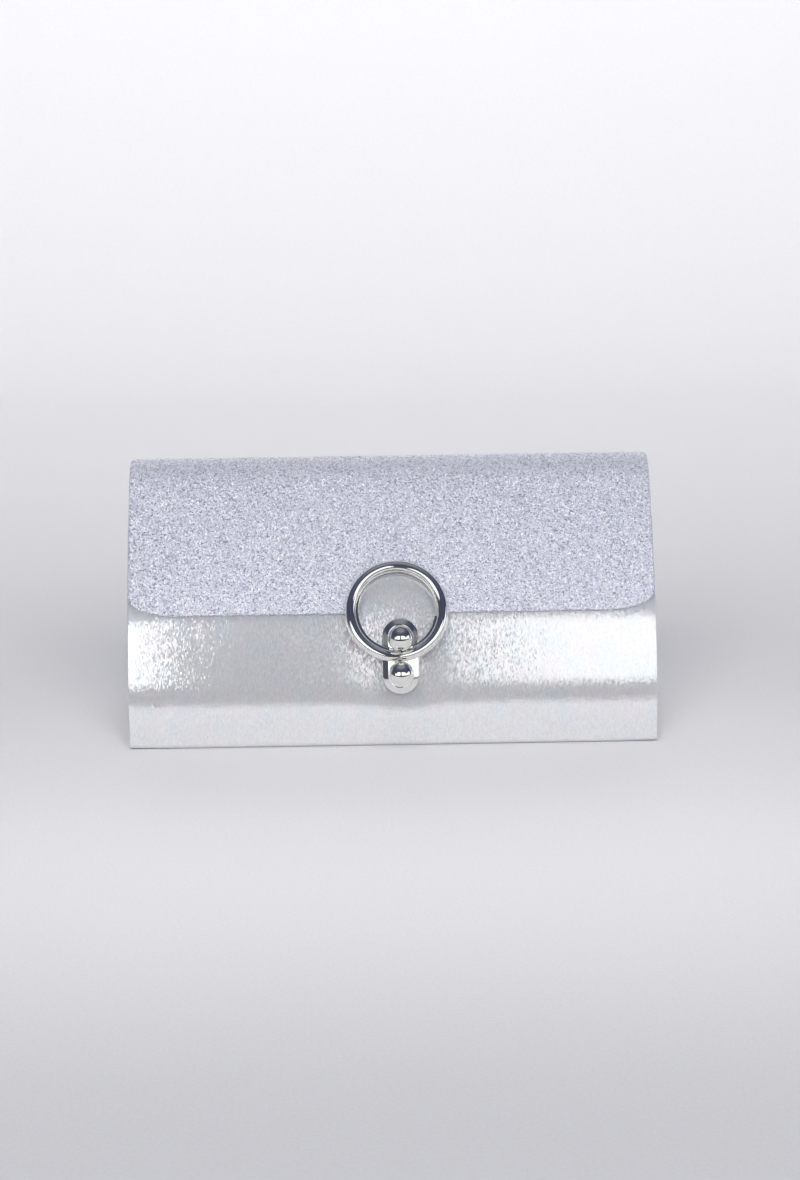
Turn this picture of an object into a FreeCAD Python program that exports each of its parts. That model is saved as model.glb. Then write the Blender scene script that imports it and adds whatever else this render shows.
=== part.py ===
"""Hard-shell evening bag with a curved flap and a ring-and-ball clasp.

Millimetres. +X runs along the bag, the front looks along -Y and +Z is up. The origin is the middle of the
flat underside. The side section is a chain of tangent arcs. Every layer of the walls is that chain offset
inwards or outwards, so boards, covers and linings stay concentric.
"""
import FreeCAD, Part
import math
import os
from FreeCAD import Vector

# ---- overall form ------------------------------------------------------------------------------------
width = 210.0              # over the two end covers
belly_height = 7.3         # height of the fullest line of the front above the table
belly_radius = 105.0       # lower arc of the body's front
belly_end = 25.5           # degrees: where the lower arc hands over to the upper one
flank_radius = 259.3       # upper arc of the body's front, under the flap
flank_end = 37.5           # degrees: where the front turns into the crown
crown_radius = 15.8        # body's crown, under the flap
shoulder_radius = 5.3      # body's top back corner, under the flap
corner_radius = 2.6        # bottom front and bottom back corners
seam_inset = 1.0           # seams of the underside, in from the bottom corners

# ---- walls -------------------------------------------------------------------------------------------
cover = 0.8                # covering of the body
board = 1.8                # stiff board of the body
base_board_thickness = 2.0
padding = 2.2              # foam behind the front board
lining = 0.5
lining_drop = 1.0          # back and end linings stop below the fold
front_top = 34.5           # degrees: where the front wall ends, under the flap

# ---- flap --------------------------------------------------------------------------------------------
flap_gap = 0.3             # between the body's front and the flap's lining
flap_lining_thickness = 0.5
flap_board_thickness = 1.3
flap_cover_thickness = 0.6
flap_side_inset = 0.3      # flap edge inside the end cover, each side
flap_edge = 25.2           # degrees: where the flap's lower edge lies on the front
flap_spare = 6.0           # degrees: layers are made this far past the edge, then trimmed
flap_corner_length = 18.0  # rounded lower corners, along the edge
flap_corner_height = 8.0   # and up the side
lining_inset = 2.4         # the lining stops short of the flap's edges
fold_gap = 0.3             # width of the bare fold between back and flap

# ---- clasp ring --------------------------------------------------------------------------------------
ring_offset = 1.8          # the ring sits a little right of the middle
ring_lean = 27.5           # degrees: the ring's plane against upright
ring_radius = 18.2         # centre line of the ring's tube
ring_tube = 2.25           # radius of the tube
ring_seat_gap = 0.2        # between tube and flap at the flap's edge
sleeve_inner = 15.1        # half sleeve that lines the flap's notch
sleeve_wall = 1.3
sleeve_wrap = 8.0          # degrees: how far each end of the sleeve runs past the half turn
notch_gap = 0.15
post_radius = 1.5          # posts on the ring's back that take the screws
post_spread = 62.0         # degrees between the posts
post_gap = 0.1
ring_plate_thickness = 0.6
ring_plate_width = 5.6
ring_plate_trim = 10.0     # degrees: the plate stops this far short of the flap's edge, each end
screw_radius = 0.7
screw_head_radius = 1.35
screw_length = 2.6
screw_sink = 0.1           # head below the back plate's face
screw_gap = 0.05
screw_end_gap = 0.3        # blind hole beyond the screw's tip

# ---- ball studs --------------------------------------------------------------------------------------
stud_offset = 3.2          # the studs sit a little further right than the ring
ball_radius = 5.1
ball_spacing = 14.2        # between the two ball centres
ball_gap = 0.5             # between a ball and the ring's tube at rest
neck_radius = 1.5
neck_gap = 0.15
collar_flare = 0.9         # neck widens into the ball
collar_height = 1.0
stud_travel = 3.85         # each stud springs outwards this far
slider_length = 3.6
slider_width = 5.6
slider_thickness = 1.4
slider_side_gap = 0.2
slider_top_gap = 0.3
seat_gap = 0.05            # between faces that rest on each other
plate_length = 29.9
plate_width = 14.4
plate_height = 2.4
plate_bevel_width = 2.3
plate_bevel_height = 1.3
prong_width = 1.6
prong_thickness = 0.7
prong_from_end = 4.4
prong_from_side = 1.5
housing_wall = 0.6
housing_gap = 0.1
flange_inset = 0.5         # housing flange inside the plate's sides
flange_margin = 0.7        # housing flange past the tray's ends
spring_thickness = 0.25
spring_width = 4.4
spring_edge_gap = 0.1      # strip inside the slider's thickness, each side

# ---- pocket and ring tabs ----------------------------------------------------------------------------
pocket_width = 140.0
pocket_bottom = 20.0
pocket_height = 50.0
pocket_cloth = 0.6
pocket_slack = 0.9
pocket_hem = 2.5
tab_width = 7.0
tab_length = 9.0
tab_cloth = 0.8
tab_from_end = 9.0         # from the end lining to the middle of the tab
tab_top_drop = 4.0         # tab top below the fold
d_wire = 0.8               # radius of the ring's wire
d_width = 11.0
d_leg = 3.0
d_gap = 0.08               # running clearance of the wire in its tab

# ---- worked out from the above -----------------------------------------------------------------------
half = width / 2
flap_half = half - flap_side_inset
flap_inner = flap_gap
flap_board_inner = flap_inner + flap_lining_thickness
flap_board_outer = flap_board_inner + flap_board_thickness
flap_outer = flap_board_outer + flap_cover_thickness
board_inner = cover + board
padding_inner = board_inner + padding
front_inner = padding_inner + lining
base_inner = cover + base_board_thickness
end_board_inner = half - cover - board
end_lining_inner = end_board_inner - lining
far = width                # past everything, for trimming


def direction(angle):
    """Outward direction in the YZ plane: 0 looks to the front, 90 up and 180 to the back."""
    a = math.radians(angle)
    return Vector(0, -math.cos(a), math.sin(a))


def chain():
    """Centres and radii of the body's four arcs, with the flap's outer depth centred on Y."""
    radii = [belly_radius, flank_radius, crown_radius, shoulder_radius]
    turns = [belly_end, flank_end, 90.0]
    centres = [Vector(0, belly_radius, belly_height)]
    for i, turn in enumerate(turns):
        centres.append(centres[i] + direction(turn) * (radii[i] - radii[i + 1]))
    depth = centres[3].y + shoulder_radius + flap_outer
    shift = Vector(0, -depth / 2, 0)
    return [c + shift for c in centres], radii, [-90.0] + turns + [180.0]


centres, radii, turns = chain()
back_face = centres[3].y + shoulder_radius + flap_outer
fold_height = centres[3].z
back_board_inner = back_face - cover - board
back_inner = back_board_inner - lining
base_front = centres[0].y - belly_radius + corner_radius + seam_inset
base_back = back_face - corner_radius - seam_inset


def on_section(angle, offset):
    """Point of the side section at a normal angle, offset outwards from the body's surface."""
    for i in range(4):
        if angle <= turns[i + 1]:
            break
    return centres[i] + direction(angle) * (radii[i] + offset)


def arcs(start, end, offset):
    """Edges of the side section between two normal angles, offset outwards."""
    edges = []
    for i in range(4):
        low = max(start, turns[i])
        high = min(end, turns[i + 1])
        if high - low < 1e-6:
            continue
        middle = (low + high) / 2
        points = [centres[i] + direction(a) * (radii[i] + offset) for a in (low, middle, high)]
        edges.append(Part.Arc(*points).toShape())
    return edges


def line(a, b):
    return Part.LineSegment(a, b).toShape()


def polygon(points):
    return Part.Face(Part.makePolygon([Vector(0, y, z) for y, z in points + points[:1]]))


def extrude(face, x_from, x_to):
    solid = face.extrude(Vector(x_to - x_from, 0, 0))
    solid.translate(Vector(x_from, 0, 0))
    return solid


def layer(start, end, inner, outer):
    """Face between two offsets of the side section."""
    out = arcs(start, end, outer)
    back = arcs(start, end, inner)
    sides = [
        line(on_section(start, inner), on_section(start, outer)),
        line(on_section(end, inner), on_section(end, outer)),
    ]
    return Part.Face(Part.Wire(Part.__sortEdges__(out + back + sides)))


def shell_solid(front, underside, back, top, x_from, x_to, fillet=0.0):
    """Solid of the whole side section: front arcs set in by front, flat underside, upright back, and the
    crown, from the front wall's end to the fold, set in by top."""
    low = math.degrees(math.asin((underside - belly_height) / (belly_radius - front)))
    foot = on_section(low, -front)
    wall_end = on_section(front_top, -front)
    crown_start = on_section(front_top, -top)
    crown_end = on_section(180.0, -top)
    edges = arcs(low, front_top, -front) + arcs(front_top, 180.0, -top)
    if (wall_end - crown_start).Length > 1e-6:
        edges.append(line(wall_end, crown_start))
    shoulder = Vector(0, back, fold_height)
    heel = Vector(0, back, underside)
    if (crown_end - shoulder).Length > 1e-6:
        edges.append(line(crown_end, shoulder))
    edges += [line(shoulder, heel), line(heel, foot)]
    solid = extrude(Part.Face(Part.Wire(Part.__sortEdges__(edges))), x_from, x_to)
    if fillet > 0:
        length = 0.9 * (x_to - x_from)
        long_edges = [e for e in solid.Edges if e.BoundBox.XLength > length]
        corners = [e for e in long_edges if e.BoundBox.ZMax < underside + 1e-3]
        solid = solid.makeFillet(fillet, corners)
    return solid


def box(x_from, x_to, y_from, y_to, z_from, z_to):
    return Part.makeBox(x_to - x_from, y_to - y_from, z_to - z_from, Vector(x_from, y_from, z_from))


def place(shape, x, point, lean):
    """Local X stays, local Y runs up the leaning face and local Z out of it."""
    moved = shape.copy()
    turn = FreeCAD.Rotation(Vector(1, 0, 0), 90 - lean)
    moved.Placement = FreeCAD.Placement(Vector(x, point.y, point.z), turn).multiply(moved.Placement)
    return moved


def mirror(shape):
    return shape.mirror(Vector(0, 0, 0), Vector(1, 0, 0))


# ---- where the clasp lies ----------------------------------------------------------------------------
ring_centre = on_section(flap_edge, flap_outer) + direction(ring_lean) * (ring_tube + ring_seat_gap)
ring_up = direction(ring_lean + 90)
ring_bottom = ring_centre - ring_up * ring_radius
from_belly = ring_bottom - centres[0]
stud_lean = math.degrees(math.atan2(from_belly.z, -from_belly.y))
tube_level = from_belly.Length - belly_radius
reach = ball_radius + ring_tube + ball_gap
ball_level = tube_level + math.sqrt(reach ** 2 - (ball_spacing / 2) ** 2)
stud_point = on_section(stud_lean, 0.0)

# cutting tools reach this far through the walls at the clasp
tool = 2 * (ball_level + ball_radius)

# the cavity behind the plate, in the studs' own frame
slider_reach = ball_spacing / 2 + slider_length / 2
cavity_half = slider_reach + stud_travel + 2 * (spring_thickness + seat_gap)
cavity_width = slider_width + 2 * slider_side_gap
cavity_top = -cover - seat_gap
cavity_floor = -padding_inner + housing_wall
slider_top = cavity_top - slider_top_gap


def at_studs(shape):
    return place(shape, stud_offset, stud_point, stud_lean)


def at_ring(shape):
    return place(shape, ring_offset, ring_centre, ring_lean)


# ---- body: boards ------------------------------------------------------------------------------------
def core():
    """Everything inside the body's covering, with the bottom corners rounded."""
    x = half - cover
    return shell_solid(cover, cover, back_face - cover, cover, -x, x, corner_radius - cover)


def body_section_layer(inner, outer, x_half, top):
    """A curved layer of the front wall, standing on the base board's level."""
    low = math.degrees(math.asin((cover - belly_height) / (belly_radius - inner)))
    start = low - math.degrees(corner_radius / belly_radius)
    sheet = extrude(layer(start, top, -inner, -outer), -x_half, x_half)
    floor = cover if inner <= board_inner else base_inner
    return sheet.cut(box(-far, far, -far, far, -far, floor))


cap_turn = math.degrees(cover / flank_radius)


def front_board():
    sheet = body_section_layer(board_inner, cover, half - cover, front_top - cap_turn).common(core())
    return sheet.cut(at_studs(housing_block(housing_gap))).cut(at_studs(prongs(housing_gap)))


def base_board():
    slab = shell_solid(board_inner, cover, back_board_inner, cover, -half + cover, half - cover)
    return slab.common(box(-far, far, -far, far, cover, base_inner))


def back_board():
    slab = box(-far, far, back_board_inner, far, 0, fold_height - fold_gap / 2)
    return slab.common(core())


def end_board():
    return shell_solid(board_inner, base_inner, back_board_inner, cover, end_board_inner, half - cover)


# ---- body: covers ------------------------------------------------------------------------------------
def skin():
    """The body's covering as one shell, before it is divided into its pieces."""
    outer = shell_solid(0.0, 0.0, back_face, 0.0, -half, half, corner_radius)
    inner = shell_solid(cover, cover, back_face - cover, 0.0, -half, half, corner_radius - cover)
    return outer.cut(inner)


def front_cover():
    wall_end = on_section(front_top, 0.0)
    inward = on_section(front_top, -padding_inner)
    outline = [
        (-far, -far), (base_front, -far), (base_front, base_inner), (inward.y, inward.z),
        (wall_end.y, wall_end.z), (-far, wall_end.z + far),
    ]
    wall = skin().common(extrude(polygon(outline), -far, far))
    hem = layer(front_top - cap_turn, front_top, -padding_inner, -cover)
    wall = wall.fuse(extrude(hem, -end_board_inner, end_board_inner)).removeSplitter()
    x = cavity_width / 2 + housing_gap
    opening = Part.makeBox(2 * x, 2 * cavity_half, 2 * tool, Vector(-x, -cavity_half, -tool))
    return wall.cut(at_studs(opening)).cut(at_studs(prongs(housing_gap)))


def base_cover():
    return box(-half, half, base_front, base_back, 0, cover)


def back_cover():
    return skin().common(box(-far, far, base_back, far, -far, fold_height - fold_gap / 2))


def end_cover():
    """Outer sheet of an end panel, turned over the top edge of its board."""
    sheet = shell_solid(cover, cover, back_face - cover, 0.0, half - cover, half, corner_radius - cover)
    sheet = sheet.cut(box(0, far, back_board_inner, far, fold_height - fold_gap / 2, far))
    turned = extrude(layer(front_top, 180.0, -cover, 0.0), end_board_inner, half - cover)
    return sheet.fuse(turned).removeSplitter()


# ---- body: padding and lining ------------------------------------------------------------------------
def front_padding():
    sheet = body_section_layer(padding_inner, board_inner, end_board_inner, front_top - cap_turn)
    return sheet.cut(at_studs(flange_block(housing_gap))).cut(at_studs(housing_block(housing_gap)))


def front_lining():
    return body_section_layer(front_inner, padding_inner, end_lining_inner, front_top)


def back_lining():
    top = fold_height - lining_drop
    return box(-end_lining_inner, end_lining_inner, back_inner, back_board_inner, base_inner, top)


def base_lining():
    slab = shell_solid(front_inner, base_inner, back_inner, cover, -end_lining_inner, end_lining_inner)
    return slab.common(box(-far, far, -far, far, base_inner, base_inner + lining))


def end_lining():
    top = cover + lining_drop
    sheet = shell_solid(padding_inner, base_inner, back_board_inner, top, end_lining_inner, end_board_inner)
    return sheet.cut(box(0, far, back_board_inner - lining_drop, far, fold_height - lining_drop, far))


def slip_pocket():
    """Flat pocket sewn to the back lining along its sides and bottom."""
    x = pocket_width / 2
    top = pocket_bottom + pocket_height
    face = back_inner - pocket_slack
    bag = box(-x, x, face - pocket_cloth, back_inner, pocket_bottom, top)
    return bag.cut(box(-x + pocket_hem, x - pocket_hem, face, back_inner, pocket_bottom + pocket_hem, top))


# ---- flap --------------------------------------------------------------------------------------------
def flap_outline(inset):
    """Everything above the flap's lower edge and between its sides, with the corners rounded."""
    x = flap_half - inset
    side_y = flap_corner_height + inset
    edge_x = x - flap_corner_length
    ellipse = Part.Ellipse(Vector(0, 0, 0), flap_corner_length, flap_corner_height)
    corner = Part.ArcOfEllipse(ellipse, math.pi, 1.5 * math.pi).toShape()
    corner.translate(Vector(-edge_x, side_y, 0))
    edges = [
        corner,
        mirror(corner),
        line(Vector(-edge_x, inset, 0), Vector(edge_x, inset, 0)),
        line(Vector(-x, side_y, 0), Vector(-x, far, 0)),
        line(Vector(-x, far, 0), Vector(x, far, 0)),
        line(Vector(x, far, 0), Vector(x, side_y, 0)),
    ]
    prism = Part.Face(Part.Wire(Part.__sortEdges__(edges))).extrude(Vector(0, 0, 2 * far))
    prism.translate(Vector(0, 0, -far))
    return place(prism, 0, on_section(flap_edge, flap_outer), flap_edge)


def flap_sheet(inner, outer, inset):
    """A layer of the flap from its lower edge over the crown to the fold."""
    sheet = extrude(layer(flap_edge - flap_spare, 180.0, inner, outer), -half, half)
    above = box(-far, far, -far, far, fold_height + fold_gap / 2, far)
    front = box(-far, far, -far, centres[3].y, 0, far)
    return sheet.common(above.fuse(front)).common(flap_outline(inset))


def notch(radius):
    return at_ring(Part.makeCylinder(radius, 2 * tool, Vector(0, 0, -tool)))


def post_places():
    angles = [90 + post_spread * i for i in (-1, 0, 1)]
    return [Vector(math.cos(math.radians(a)), math.sin(math.radians(a)), 0) * ring_radius for a in angles]


def posts(radius):
    made = [Part.makeCylinder(radius, tool, p - Vector(0, 0, tool)) for p in post_places()]
    return at_ring(Part.makeCompound(made))


def half_ring(inner, outer, z_from, z_to, wrap):
    """Annular prism over the upper half of the ring, in the ring's frame."""
    tube = Part.makeCylinder(outer, z_to - z_from, Vector(0, 0, z_from), Vector(0, 0, 1), 180 + 2 * wrap)
    tube.rotate(Vector(0, 0, 0), Vector(0, 0, 1), -wrap)
    return tube.cut(Part.makeCylinder(inner, z_to - z_from, Vector(0, 0, z_from)))


notch_radius = sleeve_inner + sleeve_wall + notch_gap
ring_plate_outer = flap_board_inner + ring_plate_thickness


def flap_region(inner, outer):
    """A layer of the flap's front, run on past its lower edge."""
    return extrude(layer(flap_edge - 2 * flap_spare, flank_end, inner, outer), -half, half)


def ring_plate_shape(gap):
    inner = notch_radius - notch_gap
    outer = sleeve_inner + ring_plate_width + gap
    region = half_ring(inner, outer, -tool, tool, math.degrees(gap / inner) - ring_plate_trim)
    return flap_region(flap_board_inner, ring_plate_outer).common(at_ring(region))


def flap_board():
    sheet = flap_sheet(flap_board_inner, flap_board_outer, flap_cover_thickness)
    sheet = sheet.cut(notch(notch_radius)).cut(ring_plate_shape(post_gap))
    return sheet.cut(posts(post_radius + post_gap))


def flap_cover():
    whole = flap_sheet(flap_board_inner, flap_outer, 0.0)
    inside = flap_sheet(flap_board_inner, flap_board_outer, flap_cover_thickness)
    return whole.cut(inside).cut(notch(notch_radius)).cut(posts(post_radius + post_gap))


def flap_lining():
    return flap_sheet(flap_inner, flap_board_inner, lining_inset).cut(notch(notch_radius))


# ---- clasp ring --------------------------------------------------------------------------------------
def clasp_ring():
    """Round ring with the half sleeve through the flap's notch and three screw posts."""
    torus = Part.makeTorus(ring_radius, ring_tube)
    sleeve = half_ring(sleeve_inner, sleeve_inner + sleeve_wall, -tool, 0, sleeve_wrap)
    body = at_ring(torus).fuse(at_ring(sleeve).cut(flap_region(-2 * tool, flap_inner)))
    stems = posts(post_radius).cut(flap_region(-2 * tool, ring_plate_outer))
    holes = at_ring(Part.makeCompound([screw_hole(p) for p in post_places()]))
    return body.fuse(stems).cut(holes).removeSplitter()


def plate_level(p):
    """Height of the back plate's outer face in the ring's frame, under the post at p."""
    out = direction(ring_lean)
    offset = ring_centre + ring_up * p.y - centres[1]
    along = offset.dot(out)
    across = (offset - out * along).Length
    return math.sqrt((flank_radius + ring_plate_outer) ** 2 - across ** 2) - along


def screw_hole(p):
    depth = screw_length + screw_end_gap
    return Part.makeCylinder(screw_radius + screw_gap, depth, p + Vector(0, 0, plate_level(p) - screw_end_gap))


def screw(p):
    bottom = p + Vector(0, 0, plate_level(p) - ring_plate_thickness + screw_sink)
    head = Part.makeCone(screw_head_radius, screw_radius, ring_plate_thickness - screw_sink, bottom)
    return head.fuse(Part.makeCylinder(screw_radius, screw_length, bottom)).removeSplitter()


def ring_screws():
    return at_ring(Part.makeCompound([screw(p) for p in post_places()]))


def ring_back_plate():
    """Horseshoe plate inside the flap, countersunk for the three screws."""
    wide = screw_head_radius + screw_gap
    narrow = screw_radius + screw_gap
    holes = []
    for p in post_places():
        seat = p + Vector(0, 0, plate_level(p) - ring_plate_thickness + screw_sink)
        holes.append(Part.makeCylinder(wide, tool, seat - Vector(0, 0, tool)))
        holes.append(Part.makeCone(wide, narrow, ring_plate_thickness - screw_sink, seat))
        holes.append(Part.makeCylinder(narrow, tool, seat))
    return ring_plate_shape(0.0).cut(at_ring(Part.makeCompound(holes)))


# ---- ball studs --------------------------------------------------------------------------------------
def capsule(length, wide, height, z_from=0.0):
    r = wide / 2
    straight = length / 2 - r
    bar = Part.makeBox(wide, 2 * straight, height, Vector(-r, -straight, z_from))
    for side in (-1, 1):
        bar = bar.fuse(Part.makeCylinder(r, height, Vector(0, side * straight, z_from)))
    return bar.removeSplitter()


def body_cylinder(offset):
    """The curved front as a solid cylinder, for seating what lies against it."""
    start = Vector(-half, centres[0].y, centres[0].z)
    return Part.makeCylinder(belly_radius + offset, width, start, Vector(1, 0, 0))


def prongs(gap):
    """Four flat legs of the stud plate that pass through the wall and hold the housing."""
    legs = []
    along_x = prong_thickness + 2 * gap
    along_y = prong_width + 2 * gap
    x = plate_width / 2 - prong_from_side - prong_thickness / 2
    y = plate_length / 2 - prong_from_end
    for sx in (-1, 1):
        for sy in (-1, 1):
            corner = Vector(sx * x - along_x / 2, sy * y - along_y / 2, -padding_inner - gap)
            legs.append(Part.makeBox(along_x, along_y, padding_inner + plate_bevel_height, corner))
    return Part.makeCompound(legs)


def neck_slot(side):
    """Slot in the plate along which one neck travels."""
    r = neck_radius + neck_gap
    slot = capsule(stud_travel + 2 * r, 2 * r, 2 * tool, -tool)
    slot.translate(Vector(0, side * (ball_spacing + stud_travel) / 2, 0))
    return slot


def stud_plate():
    """Bevelled capsule seated on the curved front, with its four prongs."""
    plate = capsule(plate_length, plate_width, 2 * plate_height, -plate_height)
    rim = [e for e in plate.Edges if e.BoundBox.ZMin > plate_height - 1e-6]
    plate = plate.makeChamfer(plate_bevel_height, plate_bevel_width, rim)
    plate = plate.cut(neck_slot(1)).cut(neck_slot(-1))
    plate = at_studs(plate).cut(body_cylinder(0.0))
    legs = at_studs(prongs(0.0)).cut(body_cylinder(-padding_inner))
    return plate.fuse(legs).removeSplitter()


def block(x, y, bottom, top):
    """Block centred on the studs' middle, from its half sizes."""
    return Part.makeBox(2 * x, 2 * y, top - bottom, Vector(-x, -y, bottom))


def housing_block(gap):
    return block(cavity_width / 2 + housing_wall + gap, cavity_half + housing_wall + gap, -tool, 0)


def flange_block(gap):
    x = plate_width / 2 - flange_inset + gap
    return block(x, cavity_half + housing_wall + flange_margin + gap, -tool, 0)


def stud_housing():
    """Tray behind the front board in which the two studs slide, with a stop between them."""
    behind_board = -board_inner - seat_gap
    floor = body_cylinder(-padding_inner + seat_gap)
    ring = body_cylinder(behind_board).cut(body_cylinder(behind_board - housing_wall))
    cavity = at_studs(block(cavity_width / 2, cavity_half, cavity_floor, tool))
    tray = at_studs(housing_block(0.0)).common(body_cylinder(cavity_top)).cut(floor).cut(cavity)
    stop_half = slider_reach - slider_length - seat_gap
    stop = at_studs(block(cavity_width / 2, stop_half, -tool, slider_top)).cut(floor)
    flange = at_studs(flange_block(0.0)).common(ring).cut(cavity)
    return tray.fuse(stop).fuse(flange).removeSplitter().cut(at_studs(prongs(seat_gap)))


def stud(side):
    """Ball on a neck, with the slider that runs in the housing."""
    y = side * ball_spacing / 2
    ball = Part.makeSphere(ball_radius, Vector(0, y, ball_level))
    neck = Part.makeCylinder(neck_radius, ball_level - slider_top, Vector(0, y, slider_top))
    foot = Vector(0, y, ball_level - ball_radius - collar_height / 3)
    collar = Part.makeCone(neck_radius, neck_radius + collar_flare, collar_height, foot)
    slider = block(slider_width / 2, slider_length / 2, slider_top - slider_thickness, slider_top)
    slider.translate(Vector(0, y, 0))
    return at_studs(slider.fuse(neck).fuse(collar).fuse(ball).removeSplitter())


def stud_spring(side):
    """V of flat strip between a slider and the end of the housing."""
    w = spring_width / 2
    t = spring_thickness
    near = slider_reach + seat_gap
    end = cavity_half - seat_gap
    middle = (near + end) / 2
    rise = middle - t / 2 - near
    strip = [
        (-w, near), (w, middle - t / 2), (w, middle + t / 2), (-w, end),
        (-w, end - t), (w - w * t / rise, middle), (-w, near + t), (-w, near),
    ]
    low = slider_top - slider_thickness + spring_edge_gap
    face = Part.Face(Part.makePolygon([Vector(x, side * y, low) for x, y in strip]))
    return at_studs(face.extrude(Vector(0, 0, slider_thickness - 2 * spring_edge_gap)))


# ---- tabs and D-rings --------------------------------------------------------------------------------
loop_outer = d_wire + d_gap + tab_cloth
d_x = end_lining_inner - tab_from_end
d_y = back_inner - loop_outer
d_z = fold_height - tab_top_drop - tab_length - loop_outer


def ring_tab():
    """Strap down the back lining, folded round the straight bar of the ring."""
    x_from = d_x - tab_width / 2
    top = fold_height - tab_top_drop
    strap = box(x_from, x_from + tab_width, back_inner - tab_cloth, back_inner, d_z, top)
    loop = Part.makeCylinder(loop_outer, tab_width, Vector(x_from, d_y, d_z), Vector(1, 0, 0))
    bore = Part.makeCylinder(d_wire + d_gap, tab_width, Vector(x_from, d_y, d_z), Vector(1, 0, 0))
    return strap.fuse(loop).cut(bore).removeSplitter()


def d_ring():
    """Wire ring with a straight bar above and a half circle below."""
    r = d_width / 2 - d_wire
    bow = Part.makeTorus(r, d_wire, Vector(0, 0, 0), Vector(0, 1, 0))
    bow = bow.common(block(2 * r, 2 * r, -2 * r, 0))
    parts = [Part.makeCylinder(d_wire, 2 * r, Vector(-r, 0, d_leg), Vector(1, 0, 0))]
    for side in (-1, 1):
        parts.append(Part.makeCylinder(d_wire, d_leg, Vector(side * r, 0, 0)))
        parts.append(Part.makeSphere(d_wire, Vector(side * r, 0, d_leg)))
    ring = bow.fuse(parts).removeSplitter()
    ring.translate(Vector(d_x, d_y, d_z - d_leg))
    return ring


# ---- write -------------------------------------------------------------------------------------------
def build():
    tab = ring_tab()
    ring = d_ring()
    end = end_board()
    sheet = end_cover()
    inside = end_lining()
    return {
        "base_board": base_board(),
        "back_board": back_board(),
        "front_board": front_board(),
        "right_end_board": end,
        "left_end_board": mirror(end),
        "front_cover": front_cover(),
        "base_cover": base_cover(),
        "back_cover": back_cover(),
        "right_end_cover": sheet,
        "left_end_cover": mirror(sheet),
        "front_padding": front_padding(),
        "front_lining": front_lining(),
        "back_lining": back_lining(),
        "base_lining": base_lining(),
        "right_end_lining": inside,
        "left_end_lining": mirror(inside),
        "slip_pocket": slip_pocket(),
        "flap_board": flap_board(),
        "flap_cover": flap_cover(),
        "flap_lining": flap_lining(),
        "clasp_ring": clasp_ring(),
        "ring_back_plate": ring_back_plate(),
        "ring_screws": ring_screws(),
        "stud_plate": stud_plate(),
        "stud_housing": stud_housing(),
        "upper_stud": stud(1),
        "lower_stud": stud(-1),
        "upper_stud_spring": stud_spring(1),
        "lower_stud_spring": stud_spring(-1),
        "right_ring_tab": tab,
        "left_ring_tab": mirror(tab),
        "right_d_ring": ring,
        "left_d_ring": mirror(ring),
    }


def main():
    os.makedirs("parts", exist_ok=True)
    for name, shape in build().items():
        shape.exportStep("parts/" + name + ".step")
        kinds = "valid" if shape.isValid() else "NOT VALID"
        print(f"{name}: {len(shape.Solids)} solid(s), {shape.Volume:.1f} mm3, {kinds}")
    print("fold line", round(back_face, 3), round(fold_height, 3))
    print("height", round(fold_height + shoulder_radius + flap_outer, 3))
    print("depth", round(2 * back_face, 3))
    print("stud lean", round(stud_lean, 3), "tube", round(tube_level, 3), "ball", round(ball_level, 3))
    print("d ring bar", round(d_x, 3), round(d_y, 3), round(d_z, 3))
    print("ring centre", ring_centre, "stud point", stud_point)


main()
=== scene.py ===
"""Silver evening bag: the cloths, skins, linings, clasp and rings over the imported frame, with their finishes.

Metres. +X runs along the bag, the front looks along -Y and +Z is up. Soft pieces are cut flat, with X across
the bag, Y along the cut and Z out of the cloth, and are then laid round the bag's side section. The paths
that they follow, and the sizes of the form, are in millimetres.
"""

import math

import bmesh
import bpy
from bpy.props import FloatProperty, FloatVectorProperty, PointerProperty
from mathutils import Matrix, Vector


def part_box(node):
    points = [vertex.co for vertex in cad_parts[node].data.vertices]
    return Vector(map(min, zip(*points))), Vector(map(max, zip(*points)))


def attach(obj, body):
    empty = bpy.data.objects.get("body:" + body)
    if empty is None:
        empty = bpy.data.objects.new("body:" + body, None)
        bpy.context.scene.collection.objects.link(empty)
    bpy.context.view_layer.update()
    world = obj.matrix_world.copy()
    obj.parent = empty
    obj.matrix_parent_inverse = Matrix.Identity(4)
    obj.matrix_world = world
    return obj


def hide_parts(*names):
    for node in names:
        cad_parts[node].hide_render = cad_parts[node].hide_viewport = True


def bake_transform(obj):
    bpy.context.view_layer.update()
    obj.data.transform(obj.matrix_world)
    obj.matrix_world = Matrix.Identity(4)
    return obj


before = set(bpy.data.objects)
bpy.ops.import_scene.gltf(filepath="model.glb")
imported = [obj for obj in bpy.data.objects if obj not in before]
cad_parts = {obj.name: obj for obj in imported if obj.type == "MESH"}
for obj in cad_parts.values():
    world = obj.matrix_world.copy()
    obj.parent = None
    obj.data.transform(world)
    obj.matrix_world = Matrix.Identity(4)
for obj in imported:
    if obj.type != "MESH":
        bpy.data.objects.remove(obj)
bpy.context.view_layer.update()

bl_info = {
    "name": "Silver Evening Bag",
    "version": (1, 0, 0),
    "blender": (4, 5, 0),
    "location": "3D View > Sidebar > Evening Bag",
    "description": "Builds the visible pieces of a hard-shell evening bag over its packed frame",
    "category": "Add Mesh",
}

MM = 0.001
SIDES = ((1, "right"), (-1, "left"))


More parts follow.
